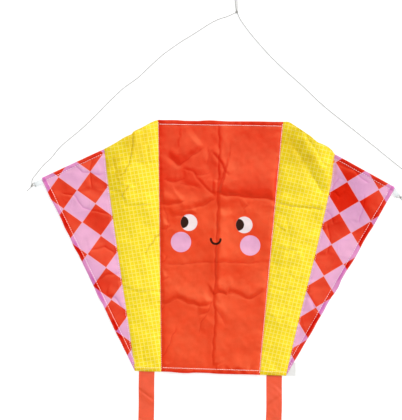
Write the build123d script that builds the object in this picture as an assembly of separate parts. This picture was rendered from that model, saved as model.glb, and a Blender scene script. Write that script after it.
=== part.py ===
from build123d import *
import os

# A frameless pocket kite lying flat, printed face up, leading edge towards +Y.
# Millimetres, +Z up. The origin is the middle of the centre panel's underside, on the ground.

# Sail outline: half of it, on the right of the middle line
LEADING_Y = 202.0            # leading edge of the centre panel
TRAILING_Y = -202.0          # trailing edge of the panel and the cells
CENTRE_TOP_X = 100.0         # inner seam at the leading edge
CENTRE_BOTTOM_X = 79.0       # inner seam at the trailing edge
CELL_TOP_X = 184.5           # outer seam at the cell's mouth
CELL_TOP_Y = 153.0
CELL_BOTTOM_X = 121.0        # outer seam at the trailing edge
TIP_X = 283.5                # wing tip
TIP_Y = 103.0

# Fabric
SHEET = 0.35                 # thickness of one layer
HEM_RISE = 0.25              # what the folded hem adds
HEM_WIDTH = 8.0
SEAM_GAP = 0.4               # clear space on each side of a seam that folds
MOUTH_RISE = 6.0             # slack of the cell's upper skin at its open mouth
TAIL_END_RISE = 1.4          # and at its closed trailing edge
SKIN_BASE = 0.42             # upper skin's edge, clear of the lower skin

# Sewing thread
THREAD_WIDTH = 0.4
THREAD_RISE = 0.15
THREAD_CLEARANCE = 0.02
ARCH_CLEARANCE = 0.15        # for a seam over the curved skin
HEM_STITCH = 7.0             # hem stitching, in from the edge
SEAM_STITCH = 2.5            # topstitching, in from the seam
MOUTH_STITCH_SHARE = 0.02    # mouth stitching, as a share of the cell's length
CLOSED_STITCH_SHARE = 0.98   # stitching of the cell's closed end

# Tip tab: a loop of tape sewn to each wing tip
TAB_ROOT = Vector(281.8, 98.1)
TAB_AXIS = Vector(0.945, -0.327).normalized()
TAB_WIDTH = 7.0
TAB_LENGTH = 9.0             # from the wing's edge to the end of the loop
TAB_TONGUE = 9.0             # sewn over the wing
TAB_TAPE = 0.3
TAB_OVER_WING = SHEET + HEM_RISE + 0.05
TAB_HIGH = 2.2               # inside of the loop
TAB_LOW = 0.6

# Bridle line
CORD_R = 0.55
CORD_Z = 1.5
TIE = Vector(295.3, 88.6)    # knot at each tip tab
TIE_KNOT_R = 1.4
TIE_RING_R = 4.4
TIE_END = Vector(7.5, -9.1)  # free end left beyond the knot
KNOT = Vector(24.0, 377.0)   # knot that joins both legs to the tow loop
KNOT_R = 1.5
KNOT_CLEARANCE = 0.15
BEND = Vector(322.5, 113.0)  # where the slack right leg doubles back to its tab
BEND_CLEARANCE = 1.1
OPEN_PIVOT_GAP = 10.3        # from the knot's centre to the right leg's end, clear of the left leg as both swing
LOOP_LENGTH = 66.0
LOOP_AXIS = Vector(-0.1, 0.995).normalized()
LOOP_HALF_WIDTH = 2.6

# Tails
TAIL_X = 102.0
TAIL_WIDTH = 25.0
TAIL_LENGTH = 480.0
TAIL_TAPE = 0.25

# Care label
LABEL_RIGHT = 136.0
LABEL_TOP = -180.0
LABEL_THICK = 0.25
LABEL_GAP = 0.5


def at(point, z):
    return Vector(point.X, point.Y, z)


def between(a, b, share):
    return a + (b - a) * share


def turned(direction):
    """The direction a quarter turn to the left."""
    return Vector(-direction.Y, direction.X)


INNER_TOP = Vector(CENTRE_TOP_X, LEADING_Y)
INNER_BOTTOM = Vector(CENTRE_BOTTOM_X, TRAILING_Y)
OUTER_TOP = Vector(CELL_TOP_X, CELL_TOP_Y)
OUTER_BOTTOM = Vector(CELL_BOTTOM_X, TRAILING_Y)
TIP = Vector(TIP_X, TIP_Y)
GAP = Vector(SEAM_GAP, 0)


def sheet(corners, base, thick):
    """A flat piece with the given corners, from base up."""
    face = make_face(Polyline(*[at(c, base) for c in corners], close=True))
    return extrude(face, thick, dir=(0, 0, 1))


def band(start, end, width, base, thick):
    """A flat band along the edge from start to end, to the left of it."""
    inward = turned((end - start).normalized()) * width
    return sheet([start, end, end + inward, start + inward], base, thick)


def thread(start, end, base):
    """A line of stitching, as one thin strip on the fabric."""
    half = turned((end - start).normalized()) * (THREAD_WIDTH / 2)
    return sheet([start - half, end - half, end + half, start + half],
                 base + THREAD_CLEARANCE, THREAD_RISE)


def arch_face(share, lift, thick):
    """The upper skin's section across the cell: share 0 at the mouth, 1 at the closed end."""
    start = between(INNER_TOP, INNER_BOTTOM, share) + GAP
    end = between(OUTER_TOP, OUTER_BOTTOM, share) - GAP
    rise = MOUTH_RISE + (TAIL_END_RISE - MOUTH_RISE) * share
    low = SKIN_BASE + lift
    middle = between(start, end, 0.5)
    under = ThreePointArc(at(start, low), at(middle, low + rise), at(end, low))
    over = ThreePointArc(at(end, low + thick), at(middle, low + rise + thick),
                         at(start, low + thick))
    sides = [Line(under @ 1, over @ 0), Line(over @ 1, under @ 0)]
    return make_face([under, sides[0], over, sides[1]])


def arch_thread(share):
    """Stitching across the curved upper skin."""
    section = arch_face(share, SHEET + ARCH_CLEARANCE, THREAD_RISE)
    return extrude(section, THREAD_WIDTH, dir=(0, -1, 0))


def swept(path, radius=CORD_R):
    section = Plane(origin=path @ 0, z_dir=path % 0) * Circle(radius)
    return sweep(section, path=path)


def cord(points):
    return swept(Spline(*[at(p, CORD_Z) for p in points]))


def ball(centre, radius):
    return Pos(centre.X, centre.Y, CORD_Z) * Sphere(radius)


def short_of(point, towards, distance):
    """The place that is a given distance from a point, on the way to another."""
    return point + (towards - point).normalized() * distance


def centre_panel():
    corners = [Vector(CENTRE_BOTTOM_X - SEAM_GAP, TRAILING_Y), Vector(CENTRE_TOP_X - SEAM_GAP, LEADING_Y),
               Vector(SEAM_GAP - CENTRE_TOP_X, LEADING_Y), Vector(SEAM_GAP - CENTRE_BOTTOM_X, TRAILING_Y)]
    panel = sheet(corners, 0, SHEET)
    outline = sheet(corners, SHEET, HEM_RISE)
    top = band(Vector(CENTRE_TOP_X, LEADING_Y), Vector(-CENTRE_TOP_X, LEADING_Y),
               HEM_WIDTH, SHEET, HEM_RISE)
    bottom = band(Vector(-CENTRE_TOP_X, TRAILING_Y), Vector(CENTRE_TOP_X, TRAILING_Y),
                  HEM_WIDTH, SHEET, HEM_RISE)
    return panel + (outline & top) + (outline & bottom)


def centre_hem_thread(y, half):
    return thread(Vector(-half, y), Vector(half, y), SHEET + HEM_RISE)


def inner_seam_thread():
    inset = Vector(-SEAM_STITCH, 0)
    margin = 2 * HEM_WIDTH / (LEADING_Y - TRAILING_Y)
    return thread(between(INNER_BOTTOM, INNER_TOP, margin) + inset,
                  between(INNER_TOP, INNER_BOTTOM, margin) + inset, SHEET)


def cell_back():
    return sheet([INNER_BOTTOM + GAP, OUTER_BOTTOM - GAP, OUTER_TOP - GAP, INNER_TOP + GAP], 0, SHEET)


def cell_face():
    return loft([arch_face(0, 0, SHEET), arch_face(1, 0, SHEET)], ruled=True)


def wing():
    corners = [OUTER_BOTTOM + GAP, TIP, OUTER_TOP + GAP]
    outline = sheet(corners, SHEET, HEM_RISE)
    outer = band(OUTER_BOTTOM + GAP, TIP, HEM_WIDTH, SHEET, HEM_RISE)
    leading = band(TIP, OUTER_TOP + GAP, HEM_WIDTH, SHEET, HEM_RISE)
    return sheet(corners, 0, SHEET) + (outline & outer) + (outline & leading)


def outer_seam_thread():
    inset = Vector(SEAM_STITCH, 0)
    return thread(between(OUTER_BOTTOM, OUTER_TOP, 0.12) + inset,
                  between(OUTER_BOTTOM, OUTER_TOP, 0.97) + inset, SHEET)


def wing_hem_thread():
    """Two rows: along the outer edge, stopping short of the tab, and along the leading edge."""
    outer = turned((TIP - OUTER_BOTTOM).normalized()) * HEM_STITCH
    leading = turned((OUTER_TOP - TIP).normalized()) * HEM_STITCH
    rows = [(between(OUTER_BOTTOM, TIP, 0.06) + outer, between(OUTER_BOTTOM, TIP, 0.93) + outer),
            (between(TIP, OUTER_TOP, 0.17) + leading, between(TIP, OUTER_TOP, 0.97) + leading)]
    return Compound(children=[thread(a, b, SHEET + HEM_RISE) for a, b in rows])


def tab_frame(z=0.0):
    """Origin at the middle of the tab's root, X along the tab, Y up and Z across it."""
    across = Vector(-TAB_AXIS.Y, TAB_AXIS.X)
    return Plane(origin=at(TAB_ROOT, z), x_dir=at(TAB_AXIS, 0), z_dir=at(across * -1, 0))


def tip_tab():
    """Tape that lies on the wing, opens into a flat loop past its edge and returns underneath."""
    over, end, tape = TAB_OVER_WING, TAB_LENGTH, TAB_TAPE
    corner = 0.8
    outside = [(-TAB_TONGUE, over), (-TAB_TONGUE, over + tape), (1.2, over + tape), (3.0, TAB_HIGH + tape),
               (end - corner, TAB_HIGH + tape), (end, TAB_HIGH - corner / 3),
               (end, TAB_LOW + corner / 3), (end - corner, TAB_LOW - tape), (1.8, TAB_LOW - tape)]
    inside = [(1.8, TAB_LOW), (end - corner - tape / 2, TAB_LOW), (end - tape, TAB_LOW + corner / 2),
              (end - tape, TAB_HIGH - corner / 2), (end - corner - tape / 2, TAB_HIGH),
              (3.0 + tape, TAB_HIGH), (1.2 + tape, over)]
    profile = make_face(Polyline(*outside, *inside, close=True))
    return extrude(tab_frame() * profile, TAB_WIDTH / 2, both=True)


def tip_bartack():
    """Three short bars of zigzag stitching across the tab's sewn end."""
    across = turned(TAB_AXIS) * (TAB_WIDTH / 2 - 1)
    bars = [TAB_ROOT - TAB_AXIS * inset for inset in (2.5, 4.5, 6.5)]
    top = TAB_OVER_WING + TAB_TAPE
    return Compound(children=[thread(b - across, b + across, top) for b in bars])


def tie_knot():
    """Line passed through the tab's loop and knotted, with its free end."""
    tab_end = TAB_ROOT + TAB_AXIS * TAB_LENGTH
    ring = Pos(tab_end.X, tab_end.Y, CORD_Z) * Torus(TIE_RING_R, CORD_R)
    neck = cord([short_of(tab_end, TIE, TIE_RING_R), short_of(TIE, tab_end, TIE_KNOT_R / 2)])
    free_end = cord([short_of(TIE, TIE + TIE_END, TIE_KNOT_R / 2), TIE + TIE_END])
    return ring + neck + ball(TIE, TIE_KNOT_R) + free_end


def tail():
    left, right = TAIL_X - TAIL_WIDTH / 2, TAIL_X + TAIL_WIDTH / 2
    top, bottom = TRAILING_Y - SEAM_GAP, TRAILING_Y - TAIL_LENGTH
    return sheet([Vector(left, top), Vector(left, bottom), Vector(right, bottom), Vector(right, top)],
                 0, TAIL_TAPE)


def left_bridle_leg():
    tie = Vector(-TIE.X, TIE.Y)
    start = short_of(tie, tie + Vector(-0.14, 0.99), TIE_KNOT_R + KNOT_CLEARANCE)
    way = [Vector(-294.8, 100.5), Vector(-290.0, 107.5), Vector(-200.0, 202.0), Vector(-66.0, 325.0)]
    return cord([start, *way, short_of(KNOT, way[-1], KNOT_R + KNOT_CLEARANCE)])


def right_bridle_end():
    """The short slack stretch from the right tab out to the bend."""
    return cord([short_of(TIE, BEND, TIE_KNOT_R + KNOT_CLEARANCE), short_of(BEND, TIE, BEND_CLEARANCE)])


def right_bridle_leg():
    way = [Vector(296.0, 133.0), Vector(252.0, 168.0), Vector(208.0, 202.0), Vector(133.0, 263.0),
           Vector(76.0, 312.0), Vector(49.0, 341.0)]
    return cord([short_of(BEND, way[0], BEND_CLEARANCE), *way, short_of(KNOT, Vector(36, 358), OPEN_PIVOT_GAP)])


def tow_loop():
    """Both strands leave the knot side by side and open a little towards the rounded end."""
    across, far = turned(LOOP_AXIS), KNOT + LOOP_AXIS * (LOOP_LENGTH - LOOP_HALF_WIDTH)
    near = KNOT + LOOP_AXIS * (KNOT_R + 0.6)
    out = Line(at(near - across * 0.9, CORD_Z), at(far - across * LOOP_HALF_WIDTH, CORD_Z))
    back = Line(at(far + across * LOOP_HALF_WIDTH, CORD_Z), at(near + across * 0.9, CORD_Z))
    turn = TangentArc(out @ 1, back @ 0, tangent=out % 1)
    return swept(Wire([out, turn, back]))


def care_label():
    """Blank label whose top end is sewn into the right wing's hem."""
    along = (TIP - OUTER_BOTTOM).normalized()
    out = turned(along) * -LABEL_GAP
    low = OUTER_BOTTOM + GAP + out
    high = low + along * ((LABEL_TOP - low.Y) / along.Y)
    return sheet([low, Vector(LABEL_RIGHT, TRAILING_Y), Vector(LABEL_RIGHT, LABEL_TOP), high], 0, LABEL_THICK)


def care_label_thread():
    along = (TIP - OUTER_BOTTOM).normalized()
    inward = turned(along) * 3.0
    start = OUTER_BOTTOM + GAP + along * 8 + inward
    return thread(start, start + along * 12, SHEET + HEM_RISE)


def left(part):
    return mirror(part, about=Plane.YZ)


def build():
    """Every node by name. Paired pieces are made on the right and mirrored."""
    paired = {
        "inner_seam_thread": inner_seam_thread(),
        "cell_back": cell_back(),
        "cell_face": cell_face(),
        "mouth_thread": arch_thread(MOUTH_STITCH_SHARE),
        "cell_hem_thread": arch_thread(CLOSED_STITCH_SHARE),
        "wing": wing(),
        "outer_seam_thread": outer_seam_thread(),
        "wing_hem_thread": wing_hem_thread(),
        "tip_tab": tip_tab(),
        "tip_bartack": tip_bartack(),
        "tie_knot": tie_knot(),
        "tail": tail(),
    }
    nodes = {
        "centre_panel": centre_panel(),
        "leading_edge_thread": centre_hem_thread(LEADING_Y - HEM_STITCH, CENTRE_TOP_X - 3),
        "trailing_edge_thread": centre_hem_thread(TRAILING_Y + HEM_STITCH, CENTRE_BOTTOM_X - 3),
        "left_bridle_leg": left_bridle_leg(),
        "right_bridle_end": right_bridle_end(),
        "right_bridle_leg": right_bridle_leg(),
        "bridle_knot": ball(KNOT, KNOT_R),
        "tow_loop": tow_loop(),
        "care_label": care_label(),
        "care_label_thread": care_label_thread(),
    }
    for name, part in paired.items():
        nodes["right_" + name] = part
        nodes["left_" + name] = left(part)
    return nodes


os.makedirs("parts", exist_ok=True)
for name, part in build().items():
    export_step(part, f"parts/{name}.step")
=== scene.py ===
"""A frameless pocket kite lying flat: printed taffeta panels, stitched seams, two tails and a tied bridle.
Lengths are in millimetres until a mesh is made."""
import math
from functools import partial

import bpy
import numpy as np
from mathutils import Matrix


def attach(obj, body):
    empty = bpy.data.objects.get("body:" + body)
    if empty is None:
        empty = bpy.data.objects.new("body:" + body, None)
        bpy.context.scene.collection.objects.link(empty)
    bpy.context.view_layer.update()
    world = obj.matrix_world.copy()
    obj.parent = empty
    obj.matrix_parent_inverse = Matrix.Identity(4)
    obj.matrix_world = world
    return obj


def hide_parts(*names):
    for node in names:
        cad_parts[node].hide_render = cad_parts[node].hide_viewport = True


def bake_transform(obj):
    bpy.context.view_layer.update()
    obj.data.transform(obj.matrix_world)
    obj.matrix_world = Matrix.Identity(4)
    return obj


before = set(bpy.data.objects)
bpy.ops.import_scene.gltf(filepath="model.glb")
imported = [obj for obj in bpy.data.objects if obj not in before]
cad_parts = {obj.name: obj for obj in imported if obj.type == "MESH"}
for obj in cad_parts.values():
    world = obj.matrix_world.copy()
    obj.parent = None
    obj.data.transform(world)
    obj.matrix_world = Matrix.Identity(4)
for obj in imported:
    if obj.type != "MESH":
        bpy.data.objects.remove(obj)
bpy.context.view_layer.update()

MM = 0.001
UP = math.pi / 2               # the direction of y
STEP = 1.6                     # grid of the fabric meshes
THICK = 0.22                   # one layer of fabric
TOP_Y, BOTTOM_Y = 202.0, -202.0
CENTRE_TOP, CENTRE_BOTTOM = 100.0, 79.0
CELL_TOP, CELL_BOTTOM = (184.5, 153.0), 121.0
TIP = (283.5, 103.0)
CELL_LENGTH = TOP_Y - BOTTOM_Y
TIE, KNOT, CORD_Z = (295.3, 88.6), (24.0, 377.0), 1.5
TAIL_X, TAIL_WIDTH, TAIL_LENGTH = 102.0, 25.0, 480.0
BOW = {-1: 1.4, 1: 4.6}        # how far each outer seam bows outwards
SKEW = 3.6                     # how far the leading edge lies to the right
HEM = 7.0                      # from a hem's edge to its stitching
CHECK, GRID = 36.6, 6.2        # side of the printed squares, pitch of the fine grid
TWIST = math.radians(1.8)      # how far the camera is rolled
DISTANCE, SEEN = 9.0, 0.672    # metres from the camera, and how wide it sees there
AMBIENT, FILL, KEY = 0.12, 0.85, 2.5
SIDES = (-1, 1)                # left and right


# ---------------------------------------------------------------- shape helpers

def side_name(side):
    return "right" if side > 0 else "left"


def smooth(t):
    t = np.clip(t, 0.0, 1.0)
    return t * t * (3 - 2 * t)


def waves(x, y, seed, shortest, longest, count=18, turn=(0, math.pi)):
    """Smooth random relief of about unit height."""
    rng = np.random.default_rng(seed)
    total = np.zeros_like(x)
    for _ in range(count):
        angle = rng.uniform(*turn)
        k = 2 * math.pi / rng.uniform(shortest, longest)
        total += np.sin((x * math.cos(angle) + y * math.sin(angle)) * k + rng.uniform(0, 6.28))
    return total / math.sqrt(count)


def ripple(along, seed, shortest, longest, count=8):
    """Smooth random relief that changes in one direction only."""
    return waves(along, 0 * along, seed, shortest, longest, count, (-0.01, 0.01))


def crumple(x, y, seed, spacing, width):
    """Thin creases along the borders of random patches, 1 on a crease."""
    rng = np.random.default_rng(seed)
    xs = np.arange(x.min() - spacing, x.max() + spacing, spacing)
    ys = np.arange(y.min() - spacing, y.max() + spacing, spacing)
    lattice = np.array([(a, b) for a in xs for b in ys])
    seeds = lattice + rng.uniform(-0.5, 0.5, lattice.shape) * spacing
    px = x + 5 * waves(x, y, seed + 1, 30, 70, 8)
    py = y + 5 * waves(x, y, seed + 2, 30, 70, 8)
    points = np.stack([px.ravel(), py.ravel()], 1)
    gaps = np.empty(len(points))
    for i in range(0, len(points), 4000):
        d = np.linalg.norm(points[i:i + 4000, None] - seeds[None], axis=2)
        two = np.partition(d, 1, axis=1)[:, :2]
        gaps[i:i + 4000] = two[:, 1] - two[:, 0]
    return np.exp(-gaps.reshape(x.shape) / width)


def curve(points, spacing=0.7):
    """A smooth curve through the points, evenly resampled."""
    p = np.array(points, float)
    p = np.vstack([2 * p[0] - p[1], p, 2 * p[-1] - p[-2]])
    out = []
    for i in range(1, len(p) - 2):
        t = np.linspace(0, 1, 24, endpoint=False)[:, None]
        a, b, c, d = p[i - 1:i + 3]
        square, cube = 2 * a - 5 * b + 4 * c - d, 3 * b - a - 3 * c + d
        out.append(0.5 * (2 * b + (c - a) * t + square * t ** 2 + cube * t ** 3))
    out = np.vstack(out + [p[-2:-1]])
    length = np.concatenate([[0], np.cumsum(np.linalg.norm(np.diff(out, axis=0), axis=1))])
    at = np.linspace(0, length[-1], max(2, int(length[-1] / spacing) + 1))
    return np.stack([np.interp(at, length, column) for column in out.T], 1)


def to_line(x, y, points):
    """Distance from a broken line, how far to its left (1) or right (-1), and the share of the way."""
    best, lean, way = np.full(x.shape, 1e9), np.zeros(x.shape), np.zeros(x.shape)
    lengths = [math.dist(a, b) for a, b in zip(points, points[1:])]
    total, gone = sum(lengths), 0.0
    for (ax, ay), (bx, by), length in zip(points, points[1:], lengths):
        dx, dy = (bx - ax) / length, (by - ay) / length
        t = np.clip((x - ax) * dx + (y - ay) * dy, 0, length)
        ox, oy = x - ax - t * dx, y - ay - t * dy
        d = np.hypot(ox, oy)
        near = d < best
        best = np.where(near, d, best)
        lean = np.where(near, (dx * oy - dy * ox) / np.maximum(d, 1e-6), lean)
        way = np.where(near, (gone + t) / total, way)
        gone += length
    return best, lean, way


def gap(x, y, a, b):
    return to_line(x, y, [a, b])[0]


def directions(a, b, side=1):
    """Unit vectors from a to b and to its left (or right, for the other side)."""
    d = (np.array(b, float) - a) / math.dist(a, b)
    return d, np.array((-d[1], d[0])) * side


def tangents(path):
    t = np.gradient(path, axis=0)
    return t / np.maximum(np.linalg.norm(t, axis=1), 1e-9)[:, None]


def crease(x, y, points, left, right, fade=0.12, soft=1):
    """A pressed crease, sharp with soft 1 and rounded with soft 2. left and right are (rise, width): the
    fabric swells by rise at about that width from it."""
    d, lean, way = to_line(x, y, curve(points, 5.0).tolist() if soft > 1 else points)
    share = 0.5 + 0.5 * lean
    rise = right[0] + (left[0] - right[0]) * share
    t = d / (1.3 * (right[1] + (left[1] - right[1]) * share))
    ends = smooth(way / fade) * smooth((1 - way) / fade)
    return rise * (t * np.exp(1 - t)) ** soft * smooth((6 - t) / 4) * ends


def unsteady(x, y):
    """Places shifted a little, so that straight lines drawn through them waver."""
    return x + 0.9 * waves(x, y, 301, 12, 40, 8), y + 0.9 * waves(x, y, 302, 12, 40, 8)


def creases(x, y, rows):
    """All the creases of a piece, drawn a little unsteadily."""
    px, py = unsteady(x, y)
    return sum(crease(px, py, *row) for row in rows)


def crease_shade(x, y, rows, width=1.0):
    """Painted shade: 1 along the middle of the creases, where the fabric lies darkest in shade."""
    px, py = unsteady(x, y)
    line = np.zeros(x.shape)
    for row in rows:
        d, _, way = to_line(px, py, row[0])
        line = np.maximum(line, np.exp(-(d / width) ** 2) * smooth(way / 0.1) * smooth((1 - way) / 0.1))
    return line


def height_share(y):
    """0 at the trailing edge and 1 at the leading edge."""
    return np.clip((y - BOTTOM_Y) / (TOP_Y - BOTTOM_Y), 0, 1.2)


def seam_bow(x, y):
    """How far a slack cell pushes its outer seam outwards, which is nothing at the seam's ends."""
    wide = np.abs(x)
    inner = CENTRE_BOTTOM + (y - BOTTOM_Y) * (CENTRE_TOP - CENTRE_BOTTOM) / (TOP_Y - BOTTOM_Y)
    seam = CELL_BOTTOM + (y - BOTTOM_Y) * (CELL_TOP[0] - CELL_BOTTOM) / (CELL_TOP[1] - BOTTOM_Y)
    across = np.where(wide < seam, smooth((wide - inner) / (seam - inner)), smooth((seam + 40 - wide) / 40))
    along = smooth((y + 165) / 200) * smooth((CELL_TOP[1] - y) / 50)
    return np.where(x > 0, BOW[1], -BOW[-1]) * across * along


def warp(x, y):
    """The kite lies a little skewed on the table, with its outer seams bowed."""
    t = height_share(y)
    return x + SKEW * t + seam_bow(x, y), y + 2.0 * t * np.tanh(x / 100)


def unbowed(x, y):
    """The x that a place of the warped kite would have with straight outer seams."""
    upright = x - SKEW * height_share(y)
    return x - seam_bow(upright - seam_bow(upright, y), y)


def warped(point):
    x, y = warp(np.array(float(point[0])), np.array(float(point[1])))
    return float(x), float(y)


def corners(side):
    """Flat corners on one side: lower and upper end of the inner seam and of the outer seam, and the tip."""
    places = (CENTRE_BOTTOM, BOTTOM_Y), (CENTRE_TOP, TOP_Y), (CELL_BOTTOM, BOTTOM_Y), CELL_TOP, TIP
    return [(side * x, y) for x, y in places]


def seam_ends(side, which):
    """Upper and lower end of a seam of the warped kite: 0 is the inner one and 1 the outer one."""
    low, high = corners(side)[2 * which:2 * which + 2]
    return warped(high), warped(low)


SEAMS = [seam_ends(side, which) for which in (0, 1) for side in SIDES]


def ground(x, y):
    """Height of the sail's fabric that all panels share, so that they meet at their seams."""
    h = 1.3 + 0.45 * waves(x, y, 5, 90, 220, 10) + 2.2 * smooth((y + 60) / 250)
    straight = unbowed(x, y)
    for k, (high, low) in enumerate(SEAMS):
        d = gap(straight, y, high, low)
        pucker = ripple(y * 1.02, 40 + k, 7, 19, 9)
        h = h - 0.55 * np.exp(-d / 3.0) + 0.22 * np.exp(-d / 5.0) * pucker
    return np.maximum(h, 0.45)


class Mesh:
    """Gathers vertices and faces, with the material of each face. make() turns them into a piece that shows
    these CAD nodes; its CAD slot argument is not used."""

    def __init__(self):
        self.verts, self.faces, self.slots, self.under, self.hem_and_shade = [], [], [], [], []

    def add(self, verts, faces, slot=0, under=0.0, hem_and_shade=0.0):
        start = len(self.verts)
        self.verts += [tuple(v) for v in verts]
        self.under += [under] * len(verts) if np.isscalar(under) else list(under)
        self.hem_and_shade += [hem_and_shade] * len(verts) if np.isscalar(hem_and_shade) else list(hem_and_shade)
        self.faces += [tuple(i + start for i in f) for f in faces]
        self.slots += [slot] * len(faces)

    def make(self, name, cad_slot, nodes, *materials):
        mesh = bpy.data.meshes.new(name)
        mesh.from_pydata([(x * MM, y * MM, z * MM) for x, y, z in self.verts], [], self.faces)
        for m in materials:
            mesh.materials.append(m)
        mesh.polygons.foreach_set("material_index", self.slots)
        mesh.polygons.foreach_set("use_smooth", [True] * len(self.faces))
        rest = mesh.attributes.new("rest", "FLOAT_VECTOR", "POINT")
        rest.data.foreach_set("vector", np.array(self.verts, np.float32).ravel())
        for key, values in (("under", self.under), ("hem_and_shade", self.hem_and_shade)):
            mesh.attributes.new(key, "FLOAT", "POINT").data.foreach_set("value", np.array(values, np.float32))
        mesh.set_sharp_from_angle(angle=math.radians(50))
        mesh.update()
        obj = bpy.data.objects.new(name, mesh)
        bpy.context.scene.collection.objects.link(obj)
        if nodes:
            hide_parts(*nodes)
        return obj


def grid_faces(n, m, flip):
    i, j = np.meshgrid(np.arange(n - 1), np.arange(m - 1), indexing="ij")
    a = (i * m + j).ravel()
    quads = np.stack([a, a + 1, a + m + 1, a + m] if flip else [a, a + m, a + m + 1, a + 1], 1)
    return quads.tolist()


def shell_faces(n, m, up=True):
    """Faces of a closed shell between two grids of points. The second grid lies above the first, if up."""
    count = n * m
    ring = ([i * m for i in range(n)] + [(n - 1) * m + j for j in range(1, m)]
            + [i * m + m - 1 for i in range(n - 2, -1, -1)] + list(range(m - 2, 0, -1)))
    rim = [(a, b, b + count, a + count) if up else (b, a, a + count, b + count)
           for a, b in zip(ring, ring[1:] + ring[:1])]
    return [[i + count for i in f] for f in grid_faces(n, m, not up)] + grid_faces(n, m, up) + rim


def sheet(mesh, x, y, z, thick=THICK, hem_and_shade=0.0):
    """A closed thin shell over a grid of points, with z as its lower side. The last argument is 1 in doubled
    hems and where shade is painted along creases and rolled hem edges.
    """
    low, high = [np.stack([x, y, level], 2).reshape(-1, 3) for level in (z, z + thick)]
    spin = (x[1, 0] - x[0, 0]) * (y[0, 1] - y[0, 0]) - (y[1, 0] - y[0, 0]) * (x[0, 1] - x[0, 0])
    hem_and_shade_points = np.broadcast_to(hem_and_shade, x.shape).ravel()
    mesh.add(np.concatenate([low, high]), shell_faces(*x.shape, spin > 0), 0,
             np.repeat([1.0, 0.0], x.size), np.tile(hem_and_shade_points, 2))


def tube(mesh, points, radius, sides=6, slot=0):
    """A closed tube through the points."""
    p = np.array(points, float)
    tangent = tangents(p)
    side = np.cross(tangent[0], (0, 0, 1.0))
    if np.linalg.norm(side) < 1e-6:
        side = np.array((1.0, 0, 0))
    verts = []
    for i in range(len(p)):
        side = side - tangent[i] * (side @ tangent[i])
        side /= np.linalg.norm(side)
        other = np.cross(tangent[i], side)
        for k in range(sides):
            a = 2 * math.pi * k / sides
            verts.append(p[i] + radius * (side * math.cos(a) + other * math.sin(a)))
    faces = []
    for i in range(len(p) - 1):
        for k in range(sides):
            a, b = i * sides + k, i * sides + (k + 1) % sides
            faces.append((a, b, b + sides, a + sides))
    faces.append(range(sides - 1, -1, -1))
    faces.append([(len(p) - 1) * sides + k for k in range(sides)])
    mesh.add(verts, faces, slot)


# ---------------------------------------------------------------- materials

class Nodes:
    """Short ways to add nodes to a tree. Every value may be a number, a vector or another node's output."""

    def __init__(self, tree):
        self.tree = tree

    def node(self, kind, **settings):
        n = self.tree.nodes.new(kind)
        for k, v in settings.items():
            setattr(n, k, v)
        return n

    def put(self, value, socket):
        if isinstance(value, bpy.types.NodeSocket):
            self.tree.links.new(value, socket)
        else:
            socket.default_value = value

    def fill(self, inputs, values):
        for key, value in values.items():
            self.put(value, inputs[key])

    def math(self, operation, a, b=0.0, c=0.0, clamp=False):
        n = self.node("ShaderNodeMath", operation=operation, use_clamp=clamp)
        self.fill(n.inputs, dict(enumerate((a, b, c)[:len(n.inputs)])))
        return n.outputs[0]

    def vector(self, operation, a, b=(0, 0, 0)):
        n = self.node("ShaderNodeVectorMath", operation=operation)
        self.put(a, n.inputs[0])
        self.put(b, n.inputs["Scale" if operation == "SCALE" else 1])
        return n.outputs["Value" if operation in ("DOT_PRODUCT", "DISTANCE") else "Vector"]

    def between(self, value, low, high, a, b, kind="LINEAR"):
        """a where value is low, b where it is high."""
        n = self.node("ShaderNodeMapRange", interpolation_type=kind)
        self.fill(n.inputs, {"Value": value, "From Min": low, "From Max": high, "To Min": a, "To Max": b})
        return n.outputs["Result"]


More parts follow.
